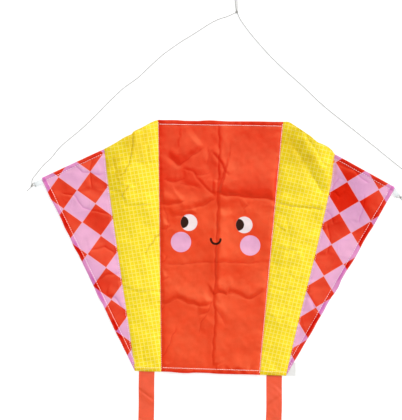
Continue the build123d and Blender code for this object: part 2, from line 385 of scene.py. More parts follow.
class Look(Nodes):
    """A Principled material built from small steps. Positions are the piece's own, in millimetres."""

    def __init__(self, name, roughness=0.5, sheen=0.0, specular=0.5, glint=(1.0, 0.95, 0.85)):
        self.material = bpy.data.materials.new(name)
        self.material.use_nodes = True
        super().__init__(self.material.node_tree)
        self.shine = specular
        self.shader = self.tree.nodes["Principled BSDF"].inputs
        self.fill(self.shader, {"Roughness": roughness, "Sheen Weight": sheen, "Sheen Roughness": 0.4,
                                "Specular Tint": (*glint, 1.0)})
        self.rest, self.under, self.hem_and_shade = [
            self.node("ShaderNodeAttribute", attribute_name=key).outputs[kind]
            for key, kind in (("rest", "Vector"), ("under", "Fac"), ("hem_and_shade", "Fac"))]
        self.flat = self.vector("MULTIPLY", self.rest, (1, 1, 0))

    def along(self, point, angle, pitch=1.0):
        """Distance from a point in the given direction, counted in pitches."""
        way = (math.cos(angle) / pitch, math.sin(angle) / pitch, 0)
        return self.vector("DOT_PRODUCT", self.vector("SUBTRACT", self.flat, (*point, 0)), way)

    def distance(self, point):
        return self.vector("DISTANCE", self.flat, (*point, 0))

    def below(self, value, limit, soft=0.4):
        """1 where value is under the limit, with a soft border."""
        return self.math("MULTIPLY_ADD", value, -1 / soft, limit / soft + 0.5, clamp=True)

    def disc(self, point, radius):
        return self.below(self.distance(point), radius)

    def mix(self, factor, a, b):
        n = self.node("ShaderNodeMix", data_type="RGBA")
        self.put(factor, n.inputs[0])
        for colour, socket in ((a, n.inputs[6]), (b, n.inputs[7])):
            self.put(colour if isinstance(colour, bpy.types.NodeSocket) else (*colour, 1), socket)
        return n.outputs[2]

    def noise(self, scale, detail):
        n = self.node("ShaderNodeTexNoise")
        self.fill(n.inputs, {"Vector": self.rest, "Scale": scale, "Detail": detail})
        return n.outputs["Fac"]

    def deepen(self, colour, amount, by):
        """Multiplies the colour by the given one, where amount is 1."""
        return self.mix(amount, colour, self.vector("MULTIPLY", colour, by))

    def finish(self, colour, weave=0.6, depth=0.02, fold=(0.80, 0.42, 0.74)):
        """Adds the weave, uneven dye, darker and duller doubled hems with painted shade along creases and
        rolled hem edges, and the paler unprinted side.
        """
        colour = self.mix(self.math("MULTIPLY", self.under, 0.16), colour, (0.85, 0.8, 0.78))
        # Partly doubled hems, partly painted shade: where the hem-and-shade attribute is high, the colour is
        # darkened and the sheen dulled, also in creases.
        colour = self.deepen(colour, self.hem_and_shade, fold)
        shine = self.math("MULTIPLY", self.math("MULTIPLY_ADD", self.hem_and_shade, -0.8, 1.0), self.shine)
        self.put(shine, self.shader["Specular IOR Level"])
        uneven = self.between(self.noise(0.06, 4), 0.3, 0.7, 0.95, 1.05)
        self.put(self.vector("SCALE", colour, uneven), self.shader["Base Color"])
        yarns = [self.math("SINE", self.along((0, 0), angle, weave / (2 * math.pi))) for angle in (0.0, UP)]
        bump = self.node("ShaderNodeBump")
        height = self.math("MULTIPLY", *yarns)
        self.fill(bump.inputs, {"Strength": 0.5, "Distance": depth * MM, "Height": height})
        self.put(bump.outputs[0], self.shader["Normal"])
        return self.material


RED, PAINTED_SHEEN_RED = (0.75, 0.012, 0.0015), (0.78, 0.030, 0.005)
PRINT_RED = (0.74, 0.013, 0.002)
PINK = (0.76, 0.37, 0.61)
YELLOW = (0.89, 0.66, 0.003)
PALE_YELLOW = (0.95, 0.80, 0.17)
TAFFETA = {"roughness": 0.36, "specular": 1.0}


def red_cloth():
    """Red taffeta, painted a little lighter and with more painted sheen towards the trailing edge, and
    printed with a simple smiling face.
    """
    look = Look("red_taffeta", glint=(1.0, 0.70, 0.30), **TAFFETA)
    # Painted light: below the eyes the red turns a little lighter and greener, as painted sheen.
    painted_sheen = look.between(look.along((0, 0), UP), 60, 105, 1.0, 0.0)
    colour, ink = look.mix(painted_sheen, RED, PAINTED_SHEEN_RED), 0.0
    for eye, radius, pupil, pupil_radius in (((-42.0, 38.0), 13.4, (-52.5, 38.5), 9.8),
                                             ((46.4, 37.0), 13.3, (36.5, 37.0), 9.7)):
        white = look.disc(eye, radius)
        colour = look.mix(white, colour, (0.83, 0.71, 0.75))
        dark = look.math("MULTIPLY", white, look.disc(pupil, pupil_radius))
        colour = look.mix(dark, colour, (0.030, 0.010, 0.009))
        ink = look.math("MAXIMUM", ink, dark)
    for cheek in ((-53.8, 6.5), (57.0, 4.5)):
        colour = look.mix(look.disc(cheek, 16.2), colour, PINK)
    mouth, radius, half = (1.6, 12.9), 7.7, 1.75
    ring = look.math("ABSOLUTE", look.math("SUBTRACT", look.distance(mouth), radius))
    smile = look.math("MULTIPLY", look.below(ring, half), look.below(look.along(mouth, UP), 0.0))
    for s in SIDES:
        smile = look.math("MAXIMUM", smile, look.disc((mouth[0] + s * radius, mouth[1]), half))
    colour = look.mix(smile, colour, (0.016, 0.006, 0.006))
    look.shine = look.math("MULTIPLY_ADD", look.math("MAXIMUM", ink, smile), -0.88, 1.0)
    return look.finish(colour)


# Painted shade: centres and reach of darker, mottled spots where the cells' folds lay in shade.
SHADED_SPOTS = {1: (((120, 172), 42), ((150, 135), 30)),
          -1: (((-168, 125), 34), ((-164, 85), 30), ((-128, 168), 40))}   # spots and their reach


def yellow_cloth(side, degrees):
    """Yellow taffeta with a fine pale printed grid and mottled spots of painted shade over its folds. The
    tail's end shows faintly through its hem.
    """
    look = Look(f"yellow_taffeta_{side_name(side)}", glint=(1.0, 0.88, 0.22), **TAFFETA)
    lines = 0.0
    for turn in (0.0, UP):
        off = look.math("PINGPONG", look.along((side * 121.0, 0.0), math.radians(degrees) + turn, GRID), 0.5)
        lines = look.math("MAXIMUM", lines, look.below(off, 0.070, 0.060))
    colour = look.mix(lines, YELLOW, PALE_YELLOW)
    # Mottle for the spots of painted shade.
    uneven = look.between(look.noise(0.045, 5), 0.40, 0.60, 0.15, 1.0)
    for spot, reach in SHADED_SPOTS[side]:
        near = look.between(look.distance(spot), 0.3 * reach, reach, 0.85, 0.0)
        colour = look.deepen(colour, look.math("MULTIPLY", near, uneven), (0.84, 0.74, 0.35))
    across = look.math("ABSOLUTE", look.along((side * TAIL_X, 0), 0.0))
    behind = look.math("MULTIPLY", look.below(across, TAIL_WIDTH / 2, 1.0),
                       look.below(look.along((0, BOTTOM_Y), UP), 5.5, 1.0))
    colour = look.mix(look.math("MULTIPLY", behind, 0.14), colour, (0.80, 0.22, 0.01))
    return look.finish(colour, fold=(0.66, 0.56, 0.60))


def checked_cloth(side, point, degrees):
    """Red and pink squares. The right wing has a darker patch with less sheen, painted shade where it tilted
    away from the light.
    """
    look = Look(f"checked_taffeta_{side_name(side)}", glint=(1.0, 0.66, 0.32), **TAFFETA)
    a, b = [look.along(point, math.radians(degrees) + turn, CHECK) for turn in (0.0, UP)]
    odd = look.math("FLOORED_MODULO", look.math("ADD", look.math("FLOOR", a), look.math("FLOOR", b)), 2.0)
    colour = look.mix(odd, PRINT_RED, PINK)
    edge = look.math("MINIMUM", look.math("PINGPONG", a, 0.5), look.math("PINGPONG", b, 0.5))
    colour = look.mix(look.math("MULTIPLY", look.below(edge, 0.012, 0.016), 0.55), colour, (0.86, 0.50, 0.50))
    if side > 0:
        # Painted shade: darker colour and less sheen around this point of the right wing.
        shaded_patch = look.between(look.distance((212, 92)), 25, 62, 1.0, 0.0)
        look.shine = look.math("MULTIPLY_ADD", shaded_patch, -0.85, 1.0)
        colour = look.vector("SCALE", colour, look.math("MULTIPLY_ADD", shaded_patch, -0.10, 1.0))
    return look.finish(colour)


def plain(name, colour, roughness=0.6, weave=0.6, depth=0.02, sheen=0.0):
    return Look(name, roughness, sheen).finish(colour, weave, depth)


def thread(name, colour):
    return plain(name, colour, roughness=0.7, weave=0.35, depth=0.03, sheen=0.2)


red = red_cloth()
yellow = {-1: yellow_cloth(-1, 11.5), 1: yellow_cloth(1, -12.0)}
checked = {-1: checked_cloth(-1, (-222.6, 83.9), -33.9), 1: checked_cloth(1, (228.9, 80.4), -57.2)}
ribbon = plain("red_ribbon", (0.81, 0.080, 0.024), roughness=0.5)
line_look = plain("bridle_line", (0.34, 0.34, 0.32), roughness=0.8, weave=0.5, depth=0.05, sheen=0.2)
tape_look = plain("white_tape", (0.80, 0.84, 0.85), roughness=0.55, weave=0.8, depth=0.04)
label_look = plain("blank_label", (0.78, 0.78, 0.76), roughness=0.4, weave=0.5)
thread_salmon = thread("thread_on_red", (0.96, 0.84, 0.80))
thread_white = thread("thread_white", (0.94, 0.90, 0.92))
# A dark thread that stands for painted shade beside the bartack.
painted_shade_thread = thread("thread_shade", (0.42, 0.10, 0.36))
thread_yellow = thread("thread_on_yellow", (0.86, 0.70, 0.05))
thread_pale = thread("thread_pale", (0.95, 0.92, 0.66))


# ---------------------------------------------------------------- fabric panels

def spread(first, second):
    """Two grids of even steps, each from (start, end, count)."""
    return np.meshgrid(np.linspace(*first), np.linspace(*second), indexing="ij")


def patch(bottom_a, bottom_b, top_a, top_b):
    """A grid between four corners, first index across, second upwards."""
    wide = max(math.dist(bottom_a, bottom_b), math.dist(top_a, top_b))
    tall = max(math.dist(bottom_a, top_a), math.dist(bottom_b, top_b))
    s, t = spread((0, 1, int(wide / STEP) + 1), (0, 1, int(tall / STEP) + 1))
    x, y = [(1 - s) * (1 - t) * a + s * (1 - t) * b + (1 - s) * t * c + s * t * d
            for a, b, c, d in zip(bottom_a, bottom_b, top_a, top_b)]
    return s, t, x, y


def in_hem(d, width=HEM):
    """1 inside a hem and 0 beyond its stitching."""
    return smooth((width - d) / 1.6)


def hem_bulge(d, width=HEM, rise=0.35):
    """Folded hem: a low roll between the edge and its stitching, drawn down at the stitches."""
    inside = np.clip(d / width, 0, 1)
    return rise * np.sin(math.pi * inside) ** 0.6 * (d < width) - 0.28 * np.exp(-np.abs(d - width) / 1.3)


CENTRE_CREASES = [
    # down the middle, from packing
    ([(-1, 199), (2, 167), (2, 141), (3, 113), (2, 83), (3, 60), (2, 16), (1, -20), (3, -48), (1, -71),
      (1, -84), (4, -100), (4, -126), (2, -144), (3, -162), (3, -192)], (1.5, 4.0), (0.4, 2.2), 0.02),
    ([(3, 64), (2, 16), (2, -20), (4, -50), (2, -72)], (2.2, 6.0), (0.3, 2.0), 0.1),
    # the strong one across the upper right half
    ([(2, 86), (18, 82), (30, 84), (49, 81), (65, 81), (76, 81), (97, 77)], (4.4, 14.0), (0.8, 4.0), 0.05),
    # dents in the upper left
    ([(-84, 146), (-61, 130), (-44, 142), (-20, 160)], (2.6, 11.0), (0.9, 7.0), 0.15, 2),
    ([(-9, 153), (2, 141), (9, 130), (21, 114)], (1.2, 3.0), (0.5, 3.0)),
    ([(-55, 125), (-35, 118), (-24, 101), (-6, 86), (1, 80)], (0.8, 3.0), (0.5, 3.0)),
    ([(-38, 119), (-23, 114), (-10, 121)], (0.5, 6.0), (0.2, 3.0), 0.3, 2),
    ([(-88, 109), (-69, 101), (-50, 108)], (0.8, 6.0), (0.3, 4.0), 0.3, 2),
    ([(-60, 101), (-40, 98), (-22, 92)], (0.7, 6.0), (0.3, 4.0), 0.3, 2),
    ([(-92, 66), (-60, 67), (-48, 74)], (2.0, 7.0), (0.4, 4.0), 0.2, 2),
    ([(-61, 57), (-39, 62), (-20, 66), (0, 78)], (1.6, 7.0), (0.3, 4.0), 0.2, 2),
    ([(-15, 162), (-13, 149), (-15, 130)], (0.6, 6.0), (0.2, 4.0), 0.3, 2),
    ([(-6, 108), (-5, 87)], (1.0, 4.0), (0.2, 3.0)),
    ([(-84, 66), (-74, 40), (-78, 20)], (0.6, 12.0), (0.6, 8.0), 0.2, 2),
    ([(44, 63), (53, 68)], (0.5, 3.0), (0.3, 3.0)),
    ([(-72, 46), (-56, 50), (-30, 52)], (1.2, 6.0), (0.3, 4.0), 0.2, 2),
    ([(-96, 28), (-80, 26), (-70, 33)], (1.3, 6.0), (0.3, 4.0), 0.2, 2),
    # faint fold below the cheeks, and small ones along the left seam
    ([(-85, -28), (-60, -29), (-5, -24), (41, -24), (83, -21)], (0.6, 7.0), (0.3, 4.0)),
    ([(-96, -29), (-82, -27), (-75, -18)], (1.2, 6.0), (0.3, 4.0), 0.2, 2),
    ([(-96, -57), (-80, -56), (-70, -49)], (1.3, 6.0), (0.3, 4.0), 0.2, 2),
    ([(-96, -104), (-82, -103), (-76, -97)], (1.2, 6.0), (0.3, 4.0), 0.2, 2),
    # lower cross fold
    ([(-80, -97), (-73, -93), (-57, -84), (-39, -91), (-18, -95), (0, -90)], (1.9, 7.0), (0.3, 3.0), 0.1, 2),
    ([(-24, -108), (-8, -104), (2, -84)], (1.2, 6.0), (0.3, 4.0), 0.2, 2),
    ([(1, -77), (10, -71), (22, -76)], (1.8, 4.5), (0.3, 3.0)),
    ([(21, -74), (42, -74), (59, -82), (78, -71), (92, -68)], (1.3, 6.0), (0.3, 4.0), 0.1, 2),
    ([(-79, -182), (-67, -155), (-56, -128)], (0.5, 6.0), (0.3, 4.0)),
    ([(-8, -106), (-17, -122), (-20, -140)], (0.8, 6.0), (0.2, 4.0), 0.3, 2),
    ([(4, -94), (15, -110), (24, -128)], (0.6, 6.0), (0.3, 4.0), 0.3, 2),
    ([(8, -193), (16, -202)], (0.8, 3.5), (0.3, 3.0)),
    ([(30, -203), (42, -195), (60, -202)], (1.4, 4.0), (0.3, 3.0), 0.2),
]


def centre_relief(x, y):
    patchy = smooth(0.5 + 0.6 * waves(x, y, 12, 60, 120))
    h = 0.75 * creases(x, y, CENTRE_CREASES) + 0.09 * crumple(x, y, 11, 36, 2.6) * patchy
    h += 0.50 * waves(x, y, 15, 45, 120, 14) + 0.11 * waves(x, y, 13, 12, 34, 22)
    return h + 0.03 * waves(x, y, 14, 5, 11, 22)


def centre_edges(x, y):
    """Distances from the leading and the trailing edge."""
    return TOP_Y + 0.02 * x - y, y - BOTTOM_Y


def centre_height(x, y):
    left, right = [gap(x, y, *ends) for ends in SEAMS[:2]]
    h = ground(x, y) + centre_relief(x, y) * smooth(np.minimum(left, right) / 7.0)
    h += 0.9 * (1 - np.exp(-(left / 4.5) ** 1.5)) + 0.6 * (1 - np.exp(-(right / 4.5) ** 1.5))
    top, bottom = centre_edges(x, y)
    ruffle = 0.25 * ripple(x, 17, 8, 22, 10)
    h += hem_bulge(top) + hem_bulge(bottom) + ruffle * (np.exp(-top / 6) + np.exp(-bottom / 6))
    return np.maximum(h, 0.42)


def bend(obj):
    """Bakes obj's transform into its mesh."""
    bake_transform(obj)


def centre_panel():
    mesh = Mesh()
    _, _, x, y = patch(*[corners(side)[end] for end in (0, 1) for side in SIDES])
    x, y = warp(x, y)
    y = y + 0.6 * ripple(x, 19, 25, 90) * smooth((np.abs(y) - 150) / 50)
    hem = 0.55 * sum(in_hem(d, 7.4) for d in centre_edges(x, y))
    # Painted shade along the creases, darkening the cloth like its doubled hems.
    hem = np.maximum(hem, 0.5 * crease_shade(x, y, CENTRE_CREASES, 0.9))
    sheet(mesh, x, y, centre_height(x, y), hem_and_shade=hem)
    for edge_y, inwards, half in ((TOP_Y, -1, CENTRE_TOP), (BOTTOM_Y, 1, CENTRE_BOTTOM)):
        s, t = spread((-half + 1, half - 1, 90), (0.4, 7.6, 5))
        hx, hy = warp(s, edge_y + inwards * t)
        sheet(mesh, hx, hy, centre_height(hx, hy) - 0.26, 0.2)
    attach(mesh.make("centre_panel_cloth", "red_taffeta", ["centre_panel"], red), "centre")


# how far the slack mouths reach beyond a straight line: shares of the way outwards, and distances
MOUTHS = {
    1: ([0.0, 0.03, 0.086, 0.30, 0.509, 0.60, 0.649, 0.74, 0.826, 0.90, 0.94, 1.0],
        [0.0, 2.6, 5.1, 4.6, 3.8, 2.2, 1.5, 3.0, 4.1, 3.4, 2.5, 0.0]),
    -1: ([0.0, 0.05, 0.14, 0.27, 0.44, 0.49, 0.60, 0.75, 0.90, 1.0],
         [0.0, 1.4, 2.0, 1.7, 2.6, 0.0, 1.2, 0.3, -0.3, 0.0])}


def mouth_bulge(side, s, t):
    """How far the cell's end is pushed out there, rounded off a little. It fades away from the mouth."""
    fine = np.linspace(0, 1, 201)
    values = np.pad(np.interp(fine, *MOUTHS[side]), 3, mode="edge")
    values = np.convolve(values, np.ones(7) / 7, mode="valid")
    return np.interp(s, fine, values) * smooth((t - 0.75) / 0.25)


def mouth_outwards(side):
    """The direction out of the cell's mouth."""
    way = np.array((side * (TOP_Y - CELL_TOP[1]), CELL_TOP[0] - CENTRE_TOP))
    return way / np.linalg.norm(way)


CELL_CREASES = {
    1: [([(104, 196), (118, 170), (135, 146), (150, 120), (172, 90)], (5.5, 22.0), (1.0, 10.0), 0.1, 2),
        ([(150, 124), (162, 104), (174, 88)], (1.2, 6.0), (0.5, 4.0)),
        ([(136, 190), (150, 169), (164, 149), (178, 128)], (0.8, 6.0), (1.4, 7.0)),
        ([(170, 100), (181, 122), (186, 148)], (0.6, 5.0), (1.2, 5.0)),
        ([(98, 74), (116, 70), (139, 68), (174, 65)], (1.5, 5.0), (0.8, 4.0), 0.04),
        ([(94, 42), (113, 29)], (0.7, 4.0), (0.5, 3.0)),
        ([(96, 5), (119, -3), (142, 0)], (0.8, 5.0), (0.4, 4.0)),
        ([(117, -35), (134, -51)], (0.6, 4.0), (0.4, 3.0)),
        ([(86, -60), (110, -66), (138, -64)], (0.8, 4.0), (0.4, 3.0)),
        ([(84, -104), (104, -112), (128, -108)], (0.7, 4.0), (0.4, 3.0)),
        ([(112, 60), (120, 20), (116, -30)], (0.4, 4.0), (0.6, 4.0))],
    -1: [([(-136, 181), (-136, 151), (-139, 131), (-147, 115), (-160, 106)], (1.3, 3.0), (0.4, 3.0), 0.03),
         ([(-139, 97), (-146, 83), (-152, 75)], (0.8, 3.0), (0.5, 3.0)),
         ([(-88, 21), (-103, -2), (-113, -16)], (0.8, 3.0), (0.5, 3.0)),
         ([(-174, 86), (-154, 83), (-145, 62), (-93, 64)], (1.0, 5.0), (0.5, 4.0)),
         ([(-145, -69), (-117, -76), (-85, -71)], (0.9, 4.5), (0.4, 4.0)),
         ([(-122, -105), (-108, -88), (-101, -72)], (0.6, 4.0), (0.4, 3.0)),
         ([(-104, 190), (-112, 160), (-110, 130)], (1.2, 7.0), (0.8, 7.0)),
         ([(-170, 140), (-162, 118), (-166, 96)], (1.0, 6.0), (0.8, 6.0)),
         ([(-98, -140), (-110, -160), (-108, -186)], (0.6, 5.0), (0.4, 4.0))],
}


def cell_arch(side, s, t, x, y):
    """Upper skin above the shared height: slack at the mouth, closed at the trailing edge."""
    arch = (1.5 + 3.8 * t ** 1.5) * (4 * s * (1 - s)) ** 0.8
    seed = 60 + side
    patchy = smooth(0.5 + 0.7 * waves(x, y, seed + 5, 50, 110))
    relief = 0.75 * creases(x, y, CELL_CREASES[side]) + 0.2 * crumple(x, y, seed, 26, 2.4) * patchy
    relief += 0.4 * waves(x, y, seed + 6, 30, 80, 14) + 0.09 * waves(x, y, seed + 7, 9, 26, 22)
    inside = smooth(s / 0.07) * smooth((1 - s) / 0.07) * smooth(t / 0.03)
    return np.maximum(arch * smooth(t / 0.02 + 0.15) + relief * inside, 0.0) + 0.30


def cell_grid(side, slack=True):
    inner_low, inner_high, low, high, _ = corners(side)
    s, t, x, y = patch(inner_low, low, inner_high, high)
    if slack:
        out, way = mouth_bulge(side, s, t), mouth_outwards(side)
        x, y = x + out * way[0], y + out * way[1]
    return s, t, *warp(x, y)


def cell_face_height(side, s, t, x, y):
    closed = t * CELL_LENGTH
    h = ground(x, y) + cell_arch(side, s, t, x, y)
    return h + hem_bulge(closed, 6.0, 0.3) + 0.2 * np.exp(-closed / 6) * ripple(x, 71, 7, 18, 9)


def cell(side):
    """Upper and lower skin of one cell."""
    s, t, x, y = cell_grid(side)
    face, back = Mesh(), Mesh()
    # Darker doubled hem at the closed end and a darker strip along the mouth; painted shade is added along
    # the strongest creases.
    hem_and_crease_shade = 0.22 * in_hem(t * CELL_LENGTH, 6.0) + 0.30 * smooth((2.2 - (1 - t) * 380) / 2)
    strongest = CELL_CREASES[side][4:6] if side > 0 else CELL_CREASES[side][:3]
    hem_and_crease_shade = np.maximum(hem_and_crease_shade, 0.75 * crease_shade(x, y, strongest))
    sheet(face, x, y, cell_face_height(side, s, t, x, y), 0.2, hem_and_crease_shade)
    s, t, x, y = cell_grid(side, slack=False)
    edge = smooth(s / 0.06) * smooth((1 - s) / 0.06)
    sheet(back, x, y, (ground(x, y) * 0.9) * (1 - edge) + 0.15 + 0.3 * edge, 0.18)
    for mesh, part in ((face, "cell_face"), (back, "cell_back")):
        node = f"{side_name(side)}_{part}"
        bend(mesh.make(f"{node}_cloth", "yellow_taffeta", [node], yellow[side]))


WING_CREASES = {
    1: [([(265, 136), (275, 114), (274, 86)], (0.7, 4.0), (0.5, 4.0)),
        ([(176, 70), (185, 56), (190, 40)], (0.6, 4.0), (0.4, 3.0)),
        ([(179, 46), (184, 19), (181, -8)], (0.5, 4.0), (0.9, 4.0)),
        ([(238, 92), (235, 67), (230, 44)], (0.4, 4.0), (0.8, 4.0)),
        ([(196, 118), (184, 97), (200, 86)], (0.8, 4.0), (0.5, 4.0)),
        ([(190, 140), (214, 132), (246, 108)], (0.6, 6.0), (1.3, 7.0)),
        ([(262, 70), (240, 36), (226, -4)], (1.4, 7.0), (0.6, 5.0)),
        ([(150, -70), (166, -96), (176, -92)], (0.6, 4.0), (0.8, 4.0))],
    -1: [([(-231, 128), (-215, 113), (-187, 110), (-179, 114)], (0.9, 4.5), (0.4, 4.0)),
         ([(-250, 80), (-226, 76), (-213, 57), (-169, 46)], (0.8, 4.5), (0.5, 4.0)),
         ([(-193, -63), (-170, -50), (-146, -45)], (0.7, 4.0), (0.5, 4.0)),
         ([(-173, -82), (-157, -86), (-140, -105)], (0.8, 4.0), (0.4, 4.0)),
         ([(-203, -11), (-175, -6), (-159, -14)], (0.7, 4.0), (0.5, 4.0)),
         ([(-196, 148), (-204, 118), (-198, 84)], (0.6, 6.0), (0.9, 6.0))],
}


def wing_gaps(side, x, y):
    """Distances from the wing's outer and leading edges, on the warped kite."""
    _, _, low, high, tip = [warped(p) for p in corners(side)]
    return gap(x, y, low, tip), gap(x, y, tip, high)


def wing_height(side, x, y):
    _, _, low, high, tip = [warped(p) for p in corners(side)]
    from_seam = gap(unbowed(x, y), y, low, high)
    outer, leading = wing_gaps(side, x, y)
    seed = 80 + side
    patchy = smooth(0.5 + 0.6 * waves(x, y, seed + 5, 60, 120))
    relief = 0.75 * creases(x, y, WING_CREASES[side]) + 0.2 * crumple(x, y, seed, 30, 2.4) * patchy
    relief += 0.5 * waves(x, y, seed + 6, 40, 110, 14) + 0.08 * waves(x, y, seed + 7, 12, 30, 22)
    h = ground(x, y) + relief * smooth(from_seam / 7.0)
    if side > 0:
        from_tip = np.hypot(x - tip[0], y - tip[1])
        h += 3.6 * smooth((90 - leading) / 80) * smooth(from_seam / 30) * smooth(from_tip / 60)
    else:
        h += 0.8 * np.exp(-from_seam / 3.0)
    h += hem_bulge(outer) + hem_bulge(leading)
    h += 0.22 * ripple(y, seed + 9, 7, 20, 9) * (np.exp(-outer / 5) + np.exp(-leading / 5))
    return np.maximum(h, 0.42)


def wing(side):
    """One wing with its hems turned under. Its tip is cut a little blunt."""
    _, _, low, high, tip = corners(side)
    near_tip = [tuple(np.array(p) * 0.015 + np.array(tip) * 0.985) for p in (low, high)]
    _, _, x, y = patch(low, near_tip[0], high, near_tip[1])
    x, y = warp(x, y)
    outer, leading = wing_gaps(side, x, y)
    # Painted shade along the rolled outer hem, stronger where roll is high, and along the creases; the rest
    # is the darker doubled hem.
    roll = smooth(0.5 + 0.8 * ripple(y, 33 + side, 40, 110))
    hem = 0.55 * in_hem(np.minimum(outer, leading))
    hem += 0.75 * roll * in_hem(outer) * smooth((outer - 1.2) / 2.4)
    hem = np.maximum(hem, 0.45 * crease_shade(x, y, WING_CREASES[side]))
    sway = side * 0.8 * ripple(y, 37 + side, 26, 80) * smooth((10 - outer) / 10)
    for end_x, end_y in (warped(low), warped(tip)):
        sway = sway * smooth(np.hypot(x - end_x, y - end_y) / 60)
    x = x + sway
    mesh = Mesh()
    sheet(mesh, x, y, wing_height(side, x, y), hem_and_shade=hem)
    for a, b in ((low, tip), (tip, high)):
        inwards = directions(a, b, side)[1]
        s, t = spread((0.03, 0.97, 110), (0.4, 7.6, 5))
        hx, hy = warp(*[a[k] + (b[k] - a[k]) * s + inwards[k] * t for k in (0, 1)])
        sheet(mesh, hx, hy, wing_height(side, hx, hy) - 0.26, 0.2)
    node = f"{side_name(side)}_wing"
    bend(mesh.make(f"{node}_cloth", "checker_taffeta", [node], checked[side]))


# ---------------------------------------------------------------- stitching

BEND_OF_STITCH = np.array((-0.5, -0.3, 0.0, 0.3, 0.5))


def sew(mesh, x, y, z, radius):
    """One stitch for each row of points on the cloth's surface, dipping into the cloth at its ends."""
    z = z + radius * (0.9 - 22 * BEND_OF_STITCH ** 4)
    for way in np.stack([x, y, z], 2):
        tube(mesh, way, radius, 5)


def stitch_row(mesh, a, b, height, seed, pitch=3.7, length=2.3, radius=0.3):
    """Separate stitches along a line."""
    a, b = np.array(a), np.array(b)
    count = int(math.dist(a, b) / pitch)
    centres = a + (b - a) * ((np.arange(count)[:, None] + 0.5) / count)
    centres += np.random.default_rng(seed).uniform(-0.12, 0.12, centres.shape)
    p = centres[:, None] + directions(a, b)[0] * (BEND_OF_STITCH * length)[:, None]
    x, y = warp(p[..., 0], p[..., 1])
    sew(mesh, x, y, height(x, y) + THICK, radius)


def inset_line(a, b, inset, side, trim):
    """The line from a to b moved to its left (or right, for the other side) and shortened."""
    a, b = np.array(a, float), np.array(b, float)
    return [a + (b - a) * share + directions(a, b, side)[1] * inset for share in trim]


def thread_piece(mesh, node, *looks, name=None):
    """The stitches that show one CAD thread."""
    return mesh.make(name or f"{node}_stitches", "thread", [node], *looks)


def centre_stitching():
    for node, seed, y, half in (("leading_edge_thread", 19, TOP_Y - 6.6, CENTRE_TOP),
                                ("trailing_edge_thread", 20, BOTTOM_Y + 6.8, CENTRE_BOTTOM)):
        mesh = Mesh()
        stitch_row(mesh, (-half + 2, y), (half - 2, y), centre_height, seed, length=2.9, radius=0.4)
        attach(thread_piece(mesh, node, thread_salmon), "centre")
    for side in SIDES:
        mesh, name = Mesh(), side_name(side)
        inset, length, radius = (0.9, 2.4, 0.34) if side > 0 else (0.6, 1.8, 0.24)
        a, b = (side * (CENTRE_BOTTOM - inset), BOTTOM_Y + 3), (side * (CENTRE_TOP - inset), TOP_Y - 3)
        stitch_row(mesh, a, b, centre_height, 9 + side, 3.3, length, radius)
        node, title = f"{name}_inner_seam_thread", f"{name}_inner_seam_stitches"
        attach(thread_piece(mesh, node, thread_white, name=title), "centre")


def cell_stitching(side):
    """One row just inside the cell's mouth and one just above its closed end."""
    inner_low, inner_high, low, high, _ = [np.array(p) for p in corners(side)]
    rows = ((0.985, 3.6, 2.2, 0.24, "mouth_thread", thread_yellow),
            (0.0155, 3.4, 2.3, 0.28, "cell_hem_thread", thread_pale))
    for share, pitch, length, radius, part, look in rows:
        a, b = inner_high * share + inner_low * (1 - share), high * share + low * (1 - share)
        count = int(np.linalg.norm(b - a) / pitch)
        s = (np.arange(count)[:, None] + 0.5 + BEND_OF_STITCH * length / pitch) / count
        t = np.full(s.shape, share)
        p = a + (b - a) * s[..., None] + mouth_outwards(side) * mouth_bulge(side, s, t)[..., None]
        x, y = warp(p[..., 0], p[..., 1])
        mesh = Mesh()
        sew(mesh, x, y, cell_face_height(side, s, t, x, y) + 0.2, radius)
        bend(thread_piece(mesh, f"{side_name(side)}_{part}", look))


def wing_stitching(side):
    """A row along each free edge of the wing, and one along its seam with the cell."""
    _, _, low, high, tip = corners(side)
    height = partial(wing_height, side)
    hems, seam = Mesh(), Mesh()
    stitch_row(hems, *inset_line(low, tip, 6.8, side, (0.05, 0.965)), height, 21)
    stitch_row(hems, *inset_line(tip, high, 6.2, side, (0.06, 0.97)), height, 22)
    stitch_row(seam, *inset_line(low, high, -1.6, side, (0.02, 0.98)), height, 23, 3.4, 2.0, 0.24)
    for mesh, part in ((hems, "wing_hem_thread"), (seam, "outer_seam_thread")):
        bend(thread_piece(mesh, f"{side_name(side)}_{part}", thread_white))


# ---------------------------------------------------------------- tabs, label

